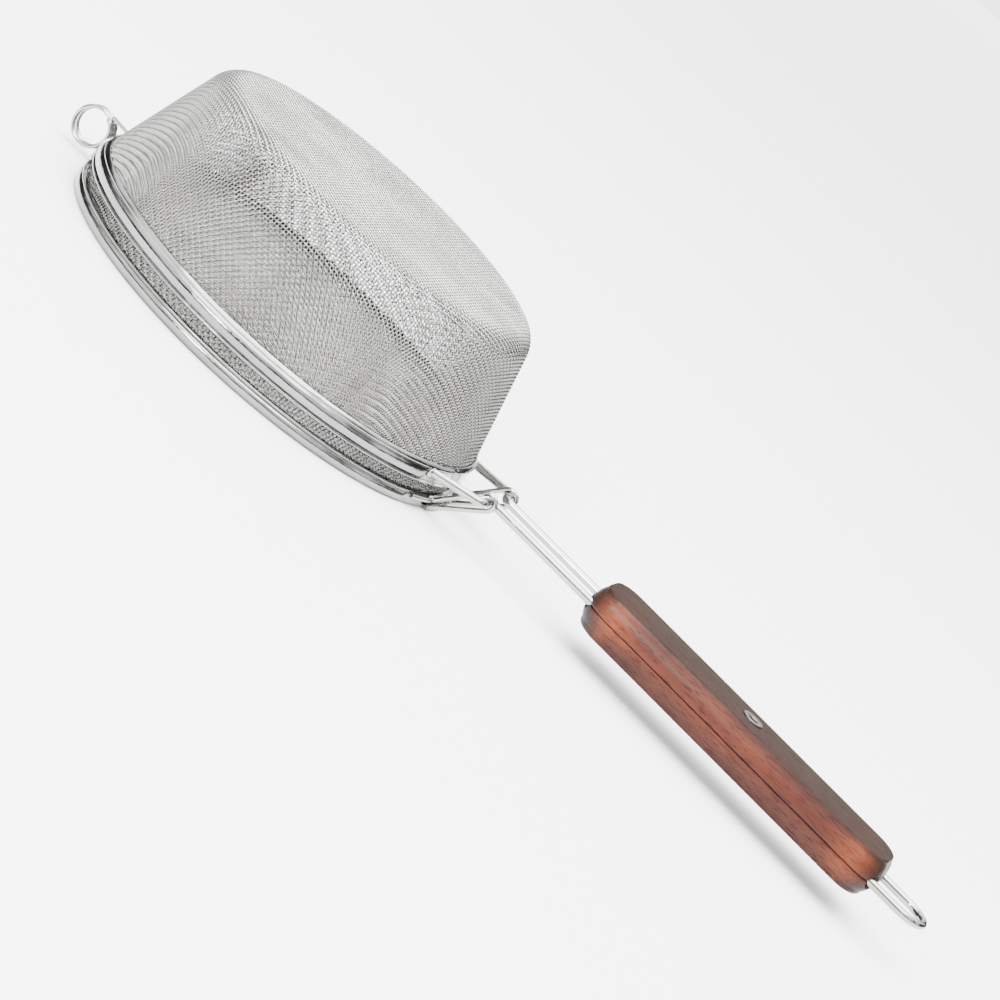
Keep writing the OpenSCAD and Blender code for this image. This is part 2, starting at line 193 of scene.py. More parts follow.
class Term:
    """A shader value: arithmetic on it adds Math nodes"""

    def __init__(self, paint, socket):
        self.paint, self.socket = paint, socket

    def maths(self, operation, a, b=0.0):
        ins = [x.socket if isinstance(x, Term) else x for x in (a, b)]
        node = self.paint.add("ShaderNodeMath", {"operation": operation}, {0: ins[0], 1: ins[1]})
        return Term(self.paint, node.outputs[0])

    def __add__(self, o): return self.maths("ADD", self, o)
    def __radd__(self, o): return self.maths("ADD", o, self)
    def __sub__(self, o): return self.maths("SUBTRACT", self, o)
    def __rsub__(self, o): return self.maths("SUBTRACT", o, self)
    def __mul__(self, o): return self.maths("MULTIPLY", self, o)
    def __rmul__(self, o): return self.maths("MULTIPLY", o, self)
    def __truediv__(self, o): return self.maths("DIVIDE", self, o)
    def __abs__(self): return self.maths("ABSOLUTE", self)

    def clamp(self):
        return self.maths("MINIMUM", self.maths("MAXIMUM", self, 0.0), 1.0)

    def step(self, low, high):
        span = {"From Min": low, "From Max": high}
        node = self.paint.add("ShaderNodeMapRange", {"interpolation_type": "SMOOTHSTEP"},
                              {"Value": self.socket, **span})
        return Term(self.paint, node.outputs[0])


class Paint:
    """A material on Object coordinates, built node by node"""

    def __init__(self, name):
        self.material = bpy.data.materials.new(name)
        self.material.use_nodes = True
        self.tree = self.material.node_tree
        self.shader = self.tree.nodes["Principled BSDF"]
        self.coords = self.add("ShaderNodeTexCoord").outputs["Object"]

    def add(self, kind, settings=None, inputs=None):
        node = self.tree.nodes.new(kind)
        for key, value in (settings or {}).items():
            if key == "stops":
                ramp = node.color_ramp
                while len(ramp.elements) < len(value):
                    ramp.elements.new(0.5)
                for element, (place, colour) in zip(ramp.elements, value):
                    element.position, element.color = place, (*colour, 1)
            else:
                setattr(node, key, value)
        self.feed(node, inputs or {})
        return node

    def feed(self, node, inputs):
        for key, value in inputs.items():
            value = value.socket if isinstance(value, Term) else value
            if isinstance(value, bpy.types.NodeSocket):
                self.tree.links.new(value, node.inputs[key])
            else:
                node.inputs[key].default_value = value

    def noise(self, stretch, scale, detail=3, rough=0.5):
        place = self.add("ShaderNodeMapping", None, {"Vector": self.coords, "Scale": stretch})
        node = self.add("ShaderNodeTexNoise", None, {"Vector": place.outputs[0], "Scale": scale,
                                                     "Detail": detail, "Roughness": rough})
        return Term(self, node.outputs["Fac"])

    def axes(self):
        node = self.add("ShaderNodeSeparateXYZ", None, {0: self.coords})
        return [Term(self, s) for s in node.outputs]

    def mix(self, factor, a, b):
        """Colour between a and b; sockets 6 and 7 are the Mix node's colour inputs"""
        node = self.add("ShaderNodeMix", {"data_type": "RGBA"}, {"Factor": factor, 6: a, 7: b})
        return node.outputs[2]

    def bump(self, height, depth):
        node = self.add("ShaderNodeBump", None, {"Height": height, "Distance": depth,
                                                 "Strength": 1.0})
        return node.outputs[0]

    def finish(self, constants, varying):
        self.feed(self.shader, constants)
        self.feed(self.shader, varying)
        return self.material


def colour(rgb):
    return (*rgb[:3], 1.0)


# Light and grey tint, roughness, scale of the waves and their depth in metres
STEELS = {
    "wire_cloth": ((0.31, 0.305, 0.292), (0.18, 0.176, 0.168), 0.14, 120, 0.00004),
    "bright_steel": ((0.27, 0.267, 0.262), (0.17, 0.168, 0.165), 0.06, 55, 0.0009),
    "bright_wire": ((0.36, 0.353, 0.343), (0.24, 0.236, 0.23), 0.10, 90, 0.0002),
    "dark_rivet": ((0.10, 0.095, 0.09), (0.035, 0.03, 0.028), 0.30, 200, 0.0002),
}


def steel(name, light, grey, rough, waves, depth):
    """Bright steel with soft waves, faint draw lines and small scuffs"""
    p = Paint(name)
    wave = p.noise((1, 1, 1), waves, 2)
    lines = p.noise((1, 1, 22), 260, 3, 0.6)
    scuffs = p.noise((1, 1, 1), 900, 4, 0.7).step(0.52, 0.75)
    patch = p.noise((1, 1, 1), 45, 3).step(0.35, 0.7)
    tint = p.mix(patch * 0.55 + scuffs * 0.35, colour(light), colour(grey))
    height = wave + lines * 0.03
    return p.finish({"Metallic": 1.0},
                    {"Base Color": tint, "Roughness": rough + patch * 0.07 + scuffs * 0.10,
                     "Normal": p.bump(height, depth)})


def shade(rgb, share):
    return colour([c * share for c in rgb])


def wood(name, looks):
    """Stained hardwood: pores along the grain, burnt ends, darker towards the upper and lower edges,
    painted shade on the lower half, a painted glow towards each end, a painted reflection on the flat
    top, thin lacquer
    """
    p = Paint(name)
    x, _, z = p.axes()
    middle = GRIP_MIDDLE * MM
    half = (GRIP_X1 - GRIP_X0) / 2 * MM
    grain = p.noise((0.09, 1, 1), 900, 6, 0.62)
    streak = p.noise((0.12, 1, 1), 160, 4, 0.55)
    cloud = p.noise((0.6, 1, 1), 38, 3)
    pores = p.noise((0.10, 1, 1), 2600, 2, 0.4).step(0.56, 0.70)
    blot = p.noise((0.8, 1, 1), 75, 4, 0.65)
    end = (abs(x - middle) / half + (cloud - 0.5) * 0.16).step(0.80, 1.0)
    # Darker towards the upper and lower edges, broken up by blots
    high = (GRIP_TOP - HINGE.z) * MM
    edge = (abs(z - HINGE.z * MM) / high + (blot - 0.5) * 0.45).step(0.62, 1.02)
    # Painted glow: a warmer band towards each end stands in for light glowing there, on top of the
    # stain's random streaks
    glow = (abs(x - middle) / half).step(0.62, 0.84)
    base = p.mix((streak * 0.6 + cloud * 0.6 + glow * 0.25 - 0.25).step(0.12, 0.85),
                 colour(looks.red), colour(looks.warm_stain_and_painted_glow))
    base = p.mix((edge * 0.72).clamp(), base, shade(looks.red, 0.45))
    # Painted shade: the lower half is darkened as if it faced away from the light, broken up by blots
    under = (HINGE.z * MM - z + (cloud - 0.5) * 0.012).step(0.0, 0.007)
    base = p.mix(under * (0.45 + 0.5 * blot.step(0.4, 0.6)), base, shade(looks.red, 0.6))
    base = p.mix((end * 0.95).clamp(), base, colour(looks.dark))
    base = p.mix(pores * 0.42 * (1.0 - end), base, shade(looks.dark, 1.6))
    # Painted reflection: the flat top is greyed towards the top colour in place of the pale
    # surroundings it reflects at a grazing angle; it is also rougher there and has no coat
    flat = z.step((GRIP_TOP - 0.7) * MM, (GRIP_TOP - 0.15) * MM)
    base = p.mix(flat * (0.75 + 0.2 * cloud), base, colour(looks.top))
    base = p.mix(blot.step(0.55, 0.8) * 0.45, base, shade(looks.red, 0.5))
    height = grain * 0.5 + (1.0 - pores) * 0.6 + blot * 0.5
    return p.finish({"Coat Roughness": 0.32, "Specular IOR Level": 0.12, "IOR": 1.45,
                     "Coat IOR": 1.35},
                    {"Base Color": base, "Roughness": 0.5 + blot * 0.18 + flat * 0.3,
                     "Coat Weight": (0.26 + cloud * 0.2 - pores * 0.2) * (1.0 - flat),
                     "Normal": p.bump(height, 0.00035)})


def plain(name, base, rough):
    """A matt finish with a barely seen change of tone"""
    p = Paint(name)
    speck = p.noise((1, 1, 1), 8, 2)
    tint = p.mix(speck, colour(base), shade(base, 0.985))
    return p.finish({}, {"Base Color": tint, "Roughness": rough + speck * 0.05})


FINISHES = {}


def finish_for(slot_name):
    """The material for one of the record's slots, made once"""
    if slot_name not in FINISHES:
        FINISHES[slot_name] = (steel(slot_name, *STEELS[slot_name]) if slot_name in STEELS
                               else wood(slot_name, sizes("grip")))
    return FINISHES[slot_name]


# ---------------------------------------------------------------- shape tools

def crease(mesh, sharp):
    """Smooths a mesh, and keeps its edges crisp from some angle in degrees up"""
    bm = bmesh.new()
    bm.from_mesh(mesh)
    for e in bm.edges:
        e.smooth = e.calc_face_angle(0) < math.radians(sharp)
    for f in bm.faces:
        f.smooth = True
    bm.to_mesh(mesh)
    bm.free()


def place(mesh, name, body, slot_name, *nodes, sharp=None):
    """Puts a finished mesh in the scene, on its body and in its slot"""
    if sharp is not None:
        crease(mesh, sharp)
    mesh.polygons.foreach_set("use_smooth", [True] * len(mesh.polygons))
    mesh.materials.clear()
    mesh.materials.append(finish_for(slot_name))
    obj = bpy.data.objects.new(name, mesh)
    bpy.context.collection.objects.link(obj)
    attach(obj, body)
    if nodes:
        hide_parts(*nodes)
    return obj


def shaped(bm, name):
    """A mesh in metres from a bmesh in millimetres, with its faces turned outwards"""
    bmesh.ops.remove_doubles(bm, verts=bm.verts, dist=1e-4)
    bmesh.ops.recalc_face_normals(bm, faces=bm.faces)
    bmesh.ops.scale(bm, vec=(MM, MM, MM), verts=bm.verts)
    mesh = bpy.data.meshes.new(name)
    bm.to_mesh(mesh)
    bm.free()
    return mesh


def tube_mesh(name, paths, diameter, resolution):
    """Round wires along paths in millimetres, as one mesh in metres"""
    curve = bpy.data.curves.new(name, "CURVE")
    curve.dimensions = "3D"
    curve.bevel_depth = diameter / 2 * MM
    curve.bevel_resolution = resolution
    curve.use_fill_caps = True
    for path in paths:
        spline = curve.splines.new("POLY")
        spline.points.add(len(path) - 1)
        co = np.ones((len(path), 4))
        co[:, :3] = np.array(path) * MM
        spline.points.foreach_set("co", co.ravel())
    obj = bpy.data.objects.new(name, curve)
    mesh = bpy.data.meshes.new_from_object(obj)
    bpy.data.objects.remove(obj)
    bpy.data.curves.remove(curve)
    return mesh


def joined(meshes, name):
    """One mesh from several"""
    bm = bmesh.new()
    for mesh in meshes:
        bm.from_mesh(mesh)
    out = bpy.data.meshes.new(name)
    bm.to_mesh(out)
    bm.free()
    return out


def arc(centre, radius, start, stop, steps):
    """Points of an arc in a plane, with angles in degrees"""
    angles = np.radians(np.linspace(start, stop, steps + 1))
    return [(centre[0] + radius * math.cos(a), centre[1] + radius * math.sin(a)) for a in angles]


def rounded(points, radius, steps=8):
    """A path in space with its inner corners turned into arcs"""
    points = [Vector(p) for p in points]
    out = [points[0]]
    for a, b, c in zip(points, points[1:], points[2:]):
        u, v = (a - b).normalized(), (c - b).normalized()
        half = u.angle(v) / 2
        centre = b + (u + v).normalized() * radius / math.sin(half)
        p = b + u * radius / math.tan(half) - centre
        q = b + v * radius / math.tan(half) - centre
        turn = math.pi - 2 * half
        for i in range(steps + 1):
            t = i / steps
            out.append(centre + (p * math.sin(turn * (1 - t)) + q * math.sin(turn * t))
                       / math.sin(turn))
    return out + [points[-1]]


def mirrored(path):
    """The path and its mirror image across the middle plane, as one run"""
    path = [Vector(p) for p in path]
    return path + [Vector((p.x, -p.y, p.z)) for p in reversed(path) if abs(p.y) > 1e-6]


def turned(section, steps, shape=None):
    """A closed section of (radius, height) points spun round the Z axis, in millimetres"""
    bm = bmesh.new()
    verts = [bm.verts.new((r, 0, z)) for r, z in section]
    edges = [bm.edges.new((a, b)) for a, b in zip(verts, verts[1:] + verts[:1])]
    bmesh.ops.spin(bm, geom=verts + edges, cent=(0, 0, 0), axis=(0, 0, 1), steps=steps,
                   angle=math.tau, use_merge=True)
    if shape:
        for v in bm.verts:
            shape(v)
    return bm


def lofted(loops):
    """A closed shape through like loops of points, capped at both ends"""
    bm = bmesh.new()
    rings = []
    for loop in loops:
        verts = [bm.verts.new(p) for p in loop]
        rings.append([bm.edges.new((a, b)) for a, b in zip(verts, verts[1:] + verts[:1])])
    for a, b in zip(rings, rings[1:]):
        bmesh.ops.bridge_loops(bm, edges=a + b)
    for ring in (rings[0], rings[-1]):
        bmesh.ops.contextual_create(bm, geom=ring)
    return bm


def cut(obj, cutters):
    """Cuts bmeshes in millimetres out of an object's mesh, and leaves no modifier"""
    tools = []
    for bm in cutters:
        mesh = shaped(bm, "cutter")
        tool = bpy.data.objects.new("cutter", mesh)
        bpy.context.collection.objects.link(tool)
        tools.append(tool)
        mod = obj.modifiers.new("cut", "BOOLEAN")
        mod.operation, mod.solver, mod.object = "DIFFERENCE", "EXACT", tool
    graph = bpy.context.evaluated_depsgraph_get()
    mesh = bpy.data.meshes.new_from_object(obj.evaluated_get(graph))
    obj.modifiers.clear()
    obj.data = mesh
    for tool in tools:
        bpy.data.objects.remove(tool)


def cone(p, q, r1, r2):
    """A round cutter from p to q with a radius at each end"""
    p, q = Vector(p), Vector(q)
    bm = bmesh.new()
    turn = (q - p).to_track_quat("Z", "Y").to_matrix().to_4x4()
    bmesh.ops.create_cone(bm, cap_ends=True, segments=CUTTER_SIDES, radius1=r1, radius2=r2,
                          depth=(q - p).length, matrix=Matrix.Translation((p + q) / 2) @ turn)
    return bm


# ---------------------------------------------------------------- wire cloth

class Cup:
    """A surface of revolution given by a profile of (radius, height) from its middle out"""

    def __init__(self, profile):
        self.points = np.array(profile, float)
        self.legs = np.diff(self.points, axis=0)
        self.lengths = np.linalg.norm(self.legs, axis=1)
        self.marks = np.concatenate([[0], np.cumsum(self.lengths)])

    def at(self, s):
        """Radius and height at a length along the profile"""
        k = min(max(int(np.searchsorted(self.marks, s)) - 1, 0), len(self.lengths) - 1)
        return self.points[k] + self.legs[k] / self.lengths[k] * (s - self.marks[k])

    def near(self, p):
        """Length along the profile, height above it, normal and radial direction at a point"""
        r = math.hypot(p[0], p[1])
        q = np.array([r, p[2]])
        t = ((q - self.points[:-1]) * self.legs).sum(1) / self.lengths ** 2
        t[0], t[-1] = min(t[0], 1), max(t[-1], 0)
        t[1:-1] = np.clip(t[1:-1], 0, 1)
        foot = self.points[:-1] + t[:, None] * self.legs
        k = int(np.linalg.norm(foot - q, axis=1).argmin())
        u = self.legs[k] / self.lengths[k]
        n = np.array([-u[1], u[0]])
        e = np.array([p[0] / r, p[1] / r]) if r > 1e-9 else np.array([1.0, 0.0])
        normal = np.array([n[0] * e[0], n[0] * e[1], n[1]])
        return self.marks[k] + t[k] * self.lengths[k], float((q - foot[k]) @ n), normal

    def net(self, pitch, reach):
        """Crossings of a square net of equal meshes laid over one quarter of the cup"""
        count = int(reach / pitch) + 3
        node = {}
        for i in range(count + 1):
            r, z = self.at(i * pitch)
            node[i, 0], node[0, i] = np.array([r, 0, z]), np.array([0, r, z])
        for k in range(2, 2 * count + 1):
            for i in range(max(1, k - count), k // 2 + 1):
                j = k - i
                a, b, c = node.get((i - 1, j)), node.get((i, j - 1)), node.get((i - 1, j - 1))
                if i == j and a is not None:
                    b = a[[1, 0, 2]]
                if a is None or b is None or c is None:
                    continue
                x = self.crossing(a, b, c, pitch)
                if x is not None and self.near(x)[0] < reach + 2 * pitch:
                    node[i, j], node[j, i] = x, x[[1, 0, 2]]
        return node, count

    def crossing(self, a, b, c, pitch):
        """The fourth corner of a mesh on the cup, by Newton's method from a flat guess"""
        x = a + b - c
        for _ in range(30):
            _, height, normal = self.near(x)
            slopes = np.array([2 * (x - a), 2 * (x - b), normal])
            miss = np.array([(x - a) @ (x - a) - pitch ** 2, (x - b) @ (x - b) - pitch ** 2,
                             height])
            step = np.linalg.solve(slopes, -miss)
            size = np.linalg.norm(step)
            x = x + step * min(1, pitch / max(size, 1e-9))
            if size < 1e-6:
                return x
        return None


def woven(profile, reach, wire_d, pitch, bias):
    """Paths of the two sets of wires, each going over and under the other"""
    cup = Cup(profile)
    turn = np.array(Matrix.Rotation(math.radians(bias), 3, "Z"))
    node, count = cup.net(pitch, reach)
    sets = []
    for across in (False, True):
        paths = []
        for i in range(-count, count + 1):
            path, marks = [], []
            for j in range(-count, count + 1):
                key = (abs(j), abs(i)) if across else (abs(i), abs(j))
                if key not in node:
                    continue
                a, b = (j, i) if across else (i, j)
                p = node[key] * (math.copysign(1, a), math.copysign(1, b), 1)
                s, _, normal = cup.near(p)
                lift = wire_d / 2 * (1 if (i + j) % 2 else -1) * (-1 if across else 1)
                path.append(turn @ (p + normal * lift))
                marks.append(s)
            paths.append(trimmed(path, marks, reach))
        sets.append([with_middles(p) for p in paths if len(p) > 2])
    return sets


def with_middles(path):
    """The path with a point halfway along each leg, so smooth shading shows its waves"""
    out = [path[0]]
    for a, b in zip(path, path[1:]):
        out += [(a + b) / 2, b]
    return out


def trimmed(path, marks, reach):
    """The stretch of a wire that lies on the cloth, cut where the cloth ends"""
    out = []
    for k, (p, s) in enumerate(zip(path, marks)):
        if s <= reach:
            if not out and k and marks[k - 1] > reach:
                t = (reach - s) / (marks[k - 1] - s)
                out.append(p + (path[k - 1] - p) * t)
            out.append(p)
        elif out and marks[k - 1] <= reach:
            t = (reach - marks[k - 1]) / (s - marks[k - 1])
            out.append(path[k - 1] + (p - path[k - 1]) * t)
            break
    return out


def cloth_pieces(name, profile, reach, body, node):
    """Each set of wires as a near and a far piece, so that none has too many faces"""
    s = sizes("cloth")
    for label, paths in zip(("warp", "weft"), woven(profile, reach, s.wire_d, s.pitch, s.bias)):
        middle = len(paths) // 2
        for side, half in (("near", paths[:middle]), ("far", paths[middle:])):
            piece = f"{name}_{label}_{side}"
            place(tube_mesh(piece, half, s.wire_d, 0), piece, body, "wire_cloth", node)


class SIFTER_OT_basket_cloth(bpy.types.Operator):
    """Weaves the basket's cloth over its cup shape"""
    bl_idname = "sifter.basket_cloth"
    bl_label = "Basket cloth"

    def execute(self, context):
        s = sizes("cloth")
        mid, top = s.thick / 2, FLOOR_Z - s.thick / 2
        edge = Vector((CLOTH_OUT - mid, RIM_HIGH))
        foot = Vector((s.floor_r, top))
        down = (edge - foot).normalized()
        slope = math.degrees(math.atan2(down.x, -down.y))
        r = s.corner_r - mid
        setback = r * math.tan(math.radians((90 - slope) / 2))
        corner = arc((foot.x - setback, top - r), r, 90, slope, 10)
        profile = [(0, top), *corner, tuple(edge), (edge.x, RIM_LOW - RUN_ON)]
        length = Cup(profile[:-1] + [(edge.x, RIM_LOW + HEM)]).marks[-1]
        cloth_pieces("basket_cloth", profile, length, "basket", "basket_mesh")
        return {"FINISHED"}


class SIFTER_OT_lid_cloth(bpy.types.Operator):
    """Weaves the lid's dished cloth"""
    bl_idname = "sifter.lid_cloth"
    bl_label = "Lid cloth"

    def execute(self, context):
        s = sizes("cloth")
        mid, top = s.thick / 2, DISH_Z - s.thick / 2
        edge = CLOTH_OUT - mid
        r = s.dish_corner - mid
        corner = arc((s.dish_r - r, top - r), r, 90, 0, 8)
        low = LID_HIGH + (edge - s.dish_r) * DISH_FALL
        profile = [(0, top), *corner, (s.dish_r, low), (edge, LID_HIGH), (edge, -RUN_ON)]
        length = Cup(profile[:-1] + [(edge, HEM)]).marks[-1]
        cloth_pieces("lid_cloth", profile, length, "lid", "lid_mesh")
        return {"FINISHED"}


# ---------------------------------------------------------------- rims

def bulge(strip_r, out_r, low, high, steps):
    """A half-round swelling of the strip between two heights"""
    rise, half = out_r - strip_r, (high - low) / 2
    r = (half * half + rise * rise) / (2 * rise)
    a = math.degrees(math.asin(half / r))
    return arc((out_r - r, (low + high) / 2), r, -a, a, steps)


def rim_mesh(name, section, s):
    """A folded strip with its bead dying out towards the plain stretch and its seam"""
    plain_half = s.plain_arc / 2
    fade = 1.6  # arc over which the bead dies out, in degrees
    seam_at, seam_half, seam_depth, skin = -6.3, 0.36, 0.55, 0.8

    def shape(v):
        a = math.degrees(math.atan2(v.co.y, v.co.x))
        r = math.hypot(v.co.x, v.co.y)
        t = min(max((abs(a) - plain_half + fade / 2) / fade, 0), 1)
        t = t * t * (3 - 2 * t)
        new = s.strip_r + (r - s.strip_r) * t if r > s.strip_r else r
        if abs(a - seam_at) < seam_half and r > s.strip_r - skin:
            new -= seam_depth
        v.co.x *= new / r
        v.co.y *= new / r

    return shaped(turned(section, RIM_STEPS, shape), name)


class SIFTER_OT_rims(bpy.types.Operator):
    """Folds the two rim strips over the cloth's edges, each with its half-round bead"""
    bl_idname = "sifter.rims"
    bl_label = "Rims"

    def execute(self, context):
        s = sizes("rims")
        t = sizes("cloth").thick
        out, inn = CLOTH_OUT + STRIP_GAP, CLOTH_OUT - t - STRIP_GAP
        z0, z1 = RIM_LOW, RIM_HIGH
        fold, lid_fold, ridge, slit = 0.5, 0.4, 0.5, 0.8
        low = z0 + 1.6
        basket = (arc((s.inner_r + fold, z0 + fold), fold, 180, 270, 4)
                  + arc((s.strip_r - fold, z0 + fold), fold, 270, 330, 3)
                  + bulge(s.strip_r, s.strip_r + ridge, z0 + 0.35, z0 + 1.25, 6)
                  + [(s.strip_r - 0.15, z0 + 1.4)]
                  + bulge(s.strip_r, s.outer_r, low, low + s.basket_bead, 16)
                  + [(s.strip_r - 0.1, low + s.basket_bead + 0.15)]
                  + [(s.strip_r, z1 - 1.3), (s.strip_r - 0.2, z1 - 0.9), (out + 0.55, z1 - 0.3),
                     (out + 0.12, z1), (out, z1), (out, z0 + slit), (inn, z0 + slit),
                     (inn, z1 - 0.4), (inn - 0.2, z1 - 0.4), (s.inner_r, z1 - 0.7)])
        top = LID_HIGH
        lid = (arc((s.inner_r + fold, fold), fold, 180, 270, 4)
               + arc((s.strip_r - fold, lid_fold), lid_fold, 270, 330, 3)
               + bulge(s.strip_r, s.outer_r, lid_fold, lid_fold + s.lid_bead, 16)
               + [(s.strip_r - 0.15, 0.55 + s.lid_bead)]
               + bulge(s.strip_r, s.strip_r + ridge, top - 0.9, top - 0.15, 6)
               + [(out + 0.5, top), (out, top), (out, slit), (inn, slit), (inn, top - 0.3),
                  (inn - 0.2, top - 0.3), (s.inner_r, top - 0.6)])
        place(rim_mesh("basket_rim_strip", basket, s), "basket_rim_strip", "basket",
              "bright_steel", "basket_rim", sharp=38)
        place(rim_mesh("lid_rim_strip", lid, s), "lid_rim_strip", "lid",
              "bright_steel", "lid_rim", sharp=38)
        for node in ("basket_hoop", "lid_hoop"):
            mesh = frame["nodes"][node].data
            mesh.materials.clear()
            mesh.materials.append(finish_for("bright_steel"))
        return {"FINISHED"}


# ---------------------------------------------------------------- wires

def weld(point, outward):
    """A small flattened bead of weld where a wire end meets the strip"""
    bm = bmesh.new()
    bmesh.ops.create_icosphere(bm, subdivisions=3, radius=1.0)
    side = Vector((-outward.y, outward.x, 0))
    deep, wide, tall = 0.75, 2.3, 1.9
    axes = Matrix((outward * deep, side * wide, Vector((0, 0, tall)))).transposed()
    for v in bm.verts:
        ripple = 1 + 0.06 * math.sin(5 * v.co.y + 3 * v.co.z)
        v.co = point + axes @ (v.co * ripple)
    return bm


class SIFTER_OT_handle_wire(bpy.types.Operator):
    """Bends the handle's wire: two welds, the hinge line, two legs and the hanging loop"""
    bl_idname = "sifter.handle_wire"
    bl_label = "Handle wire"

    def execute(self, context):
        w, rims = sizes("wires"), sizes("rims")
        slope = w.weld_drop / math.sqrt((HINGE.x - rims.strip_r) ** 2 - w.weld_drop ** 2)
        z = HINGE.z
        turn = Vector((HINGE.x, -w.turn_y, z))
        far = Vector((rims.strip_r - 6, -w.weld_y - 1, z - (HINGE.x - rims.strip_r + 6) * slope))
        weld_gap = 0.15
        step = (far - turn) / 200
        end = turn.copy()
        while math.hypot(end.x, end.y) > rims.strip_r + weld_gap:
            end += step
        loop_x = LOOP_END - w.handle_d / 2 - w.leg_y
        run = rounded([end, turn, (HINGE.x, -w.leg_y, z), (loop_x, -w.leg_y, z)], w.bend_r)
        run += [Vector((x, y, z)) for x, y in arc((loop_x, 0), w.leg_y, -90, 0, 14)[1:]]
        meshes = [tube_mesh("handle", [mirrored(run)], w.handle_d, 6)]
        sag, proud = 0.3, 0.2
        for side in (1, -1):
            outward = Vector((end.x, end.y * side, 0)).normalized()
            at = Vector((end.x, end.y * side, end.z - sag)) + outward * proud
            meshes.append(shaped(weld(at, outward), "weld"))
        place(joined(meshes, "handle_rod"), "handle_rod", "basket", "bright_wire", "handle_wire",
              sharp=50)
        return {"FINISHED"}


def tangent(point, centre, radius, side):
    """Angle in degrees of the tangent point on a circle, seen from an outside point"""
    d = Vector(point) - Vector(centre)
    return math.degrees(math.atan2(d.y, d.x) + side * math.acos(radius / d.length))


class SIFTER_OT_hinge_wire(bpy.types.Operator):
    """Bends the lid's hinge wire: link, strands, two eyes and two tails on the lid's rim"""
    bl_idname = "sifter.hinge_wire"
    bl_label = "Hinge wire"

    def execute(self, context):
        w, rims = sizes("wires"), sizes("rims")
        seat = rims.strip_r + w.hinge_d / 2 + WIRE_GAP
        corner_r = 1.2
        low_z, high_z = 0.5 + w.hinge_d / 2, LID_HIGH - 1.2
        y = w.eye_y
        x = math.sqrt(seat * seat - y * y)
        hub = (HINGE.x, HINGE.z)
        start = tangent((x, high_z), hub, w.eye_r, -1) + 360
        stop = tangent((x, low_z), hub, w.eye_r, 1)
        seat_a, tail_a = math.degrees(math.asin(y / seat)), rims.plain_arc / 2 - 1.2
        tail = [Vector((px, -py, high_z)) for px, py in arc((0, 0), seat, tail_a, seat_a + 2, 5)]
        eye = [Vector((px, -y, pz)) for px, pz in arc(hub, w.eye_r, start, stop, 26)]
        link = [Vector((px, -py, low_z)) for px, py in arc((0, 0), seat, seat_a - 2, 0, 5)]
        up = rounded([tail[-1], (x, -y, high_z), eye[0]], corner_r, 6)[1:-1]
        down = rounded([eye[-1], (x, -y, low_z), link[0]], corner_r, 6)[1:-1]
        path = mirrored(tail + up + eye + down + link)
        place(tube_mesh("hinge_loops", [path], w.hinge_d, 4), "hinge_loops", "lid",
              "bright_wire", "lid_hinge_wire", sharp=50)
        return {"FINISHED"}


def band(path, thick):
    """Outline of a strip of even thickness along a flat path"""
    path = [Vector(p) for p in path]
    left, right = [], []
    for i, p in enumerate(path):
        a = (p - path[i - 1]).normalized() if i else None
        b = (path[i + 1] - p).normalized() if i < len(path) - 1 else None
        m = [Vector((-d.y, d.x)) for d in (a, b) if d]
        n = m[0] if len(m) == 1 else (m[0] + m[1]) / (1 + m[0].dot(m[1]))
        left.append(p + n * thick / 2)
        right.append(p - n * thick / 2)
    return left + right[::-1]


class SIFTER_OT_clasp(bpy.types.Operator):
    """Makes the clasp: the rolled lug on the rim and the bowed spring wire"""
    bl_idname = "sifter.clasp"
    bl_label = "Clasp"

    def execute(self, context):
        w, rims = sizes("wires"), sizes("rims")
        x, z, thick, half = -PIVOT.x, PIVOT.z, 0.6, 1.4
        hang = 59  # how far below the pivot the ring's centre lies, in degrees
        hub = Vector((x + w.ring_r * math.cos(math.radians(hang)),
                      z - w.ring_r * math.sin(math.radians(hang))))
        toe_box = PARTS["clasp_wire"]
        toe = Vector((-toe_box[1].x + w.clasp_d / 2, 0.9))
        y, coil_from, coil_to, steps = w.clasp_y, 135, 536, 64
        coil_gap = 0.05
        coil = arc(hub, w.ring_r, coil_from, coil_to, steps)
        ring = [Vector((-px, -y + (w.clasp_d + coil_gap) * i / steps, pz))
                for i, (px, pz) in enumerate(coil)]
        head = rounded([(-x, -0.1, z), (-x, -y, z), ring[0]], 0.8, 6)[:-1]
        inner = ring[-1].y
        foot = rounded([ring[-1], (ring[-1].x + 0.25, inner, toe.y + 1.2),
                        (-toe.x, inner, toe.y), (-toe.x, 0, toe.y)], 0.5, 6)[1:]
        path = mirrored(head + ring + foot)
        place(tube_mesh("clasp_spring", [path], w.clasp_d, 4), "clasp_spring", "clasp",
              "bright_wire", "clasp_wire", sharp=50)
        high, low = Vector((CLOTH_OUT + 0.15, RIM_HIGH)), Vector((rims.strip_r, RIM_HIGH - 1.1))
        along = (high - low).normalized()
        lift = Vector((along.y, -along.x)) * (thick / 2 + WIRE_GAP)
        barrel = w.clasp_d / 2 + WIRE_GAP + thick / 2
        start = tangent(low + lift, (x, z), barrel, -1)
        roll = [Vector(p) for p in arc((x, z), barrel, start, start - 318, 30)]
        path = [Vector((high.x + lift.x, RIM_HIGH + 1.2)), high + lift, low + lift, *roll]
        bm = bmesh.new()
        verts = [bm.verts.new((-p.x, -half, p.y)) for p in band(path, thick)]
        edges = [bm.edges.new((a, b)) for a, b in zip(verts, verts[1:] + verts[:1])]
        faces = bmesh.ops.triangle_fill(bm, edges=edges, use_beauty=True)["geom"]
        faces = [f for f in faces if isinstance(f, bmesh.types.BMFace)]
        out = bmesh.ops.extrude_face_region(bm, geom=faces)["geom"]
        bmesh.ops.translate(bm, vec=(0, 2 * half, 0),
                            verts=[v for v in out if isinstance(v, bmesh.types.BMVert)])
        mesh = shaped(bm, "clasp_tab")
        place(mesh, "clasp_tab", "basket", "bright_steel", "clasp_lug", sharp=35)
        return {"FINISHED"}


# ---------------------------------------------------------------- grip

